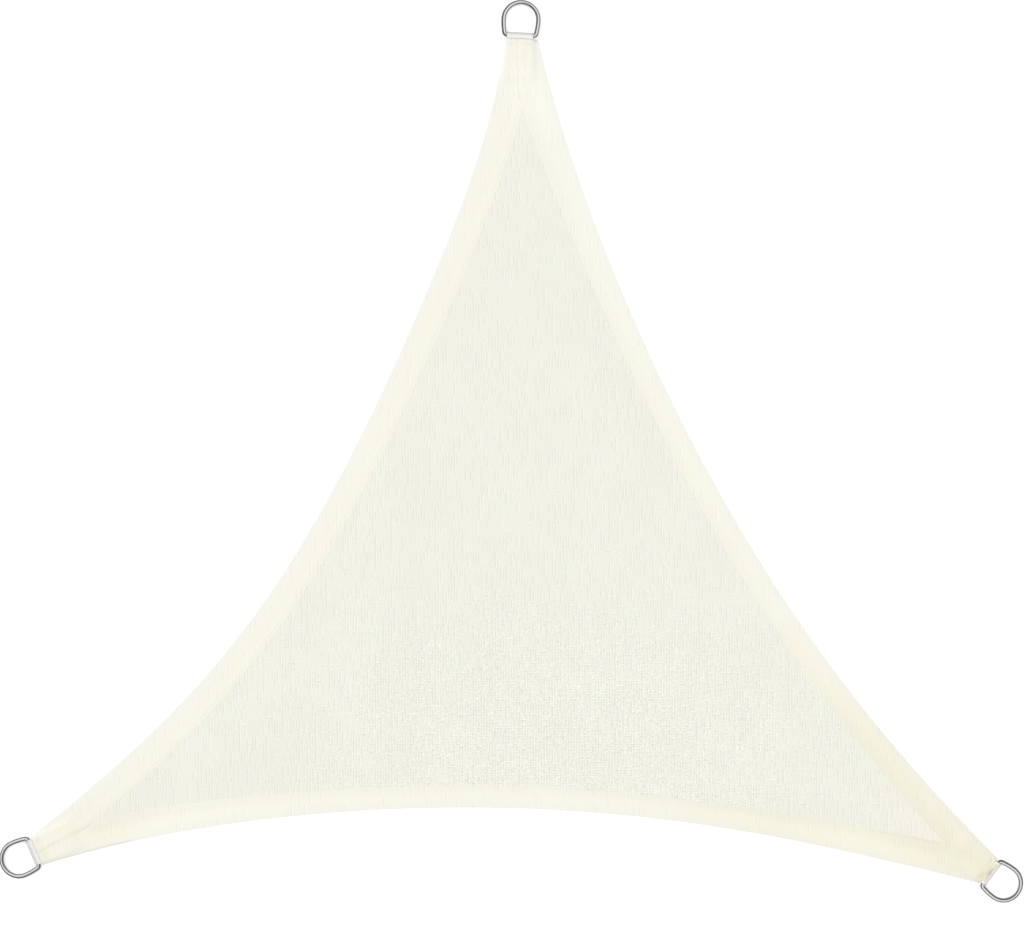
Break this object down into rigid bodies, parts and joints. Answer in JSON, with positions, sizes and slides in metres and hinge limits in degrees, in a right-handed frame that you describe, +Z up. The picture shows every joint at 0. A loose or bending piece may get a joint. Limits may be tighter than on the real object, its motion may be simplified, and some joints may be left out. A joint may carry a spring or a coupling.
{
  "type": "shade sail",
  "caption": "Triangular shade sail of ivory knitted cloth with hollow-cut hemmed edges and a steel D-ring in a webbing loop at each corner, laid out flat.",
  "frame": {"origin": "on the ground under the middle of the laid-out sail, at the centre of its box", "axes": "+X across the ribs of the knit, towards the lower right corner's side; +Y along the ribs, towards the top corner; +Z up, out of the hemmed face"},
  "size_m": [1.8416, 1.6236, 0.0117],
  "materials": {
    "ivory_knit": "matt knitted mesh with fine ribs",
    "white_webbing": "dull woven webbing",
    "steel": "polished stainless wire"
  },
  "bodies": {
    "root": {"sail_cloth": "ivory_knit", "webbing_top": "white_webbing", "webbing_left": "white_webbing", "webbing_right": "white_webbing", "ring_top": "steel", "ring_left": "steel", "ring_right": "steel"}
  },
  "joints": []
}
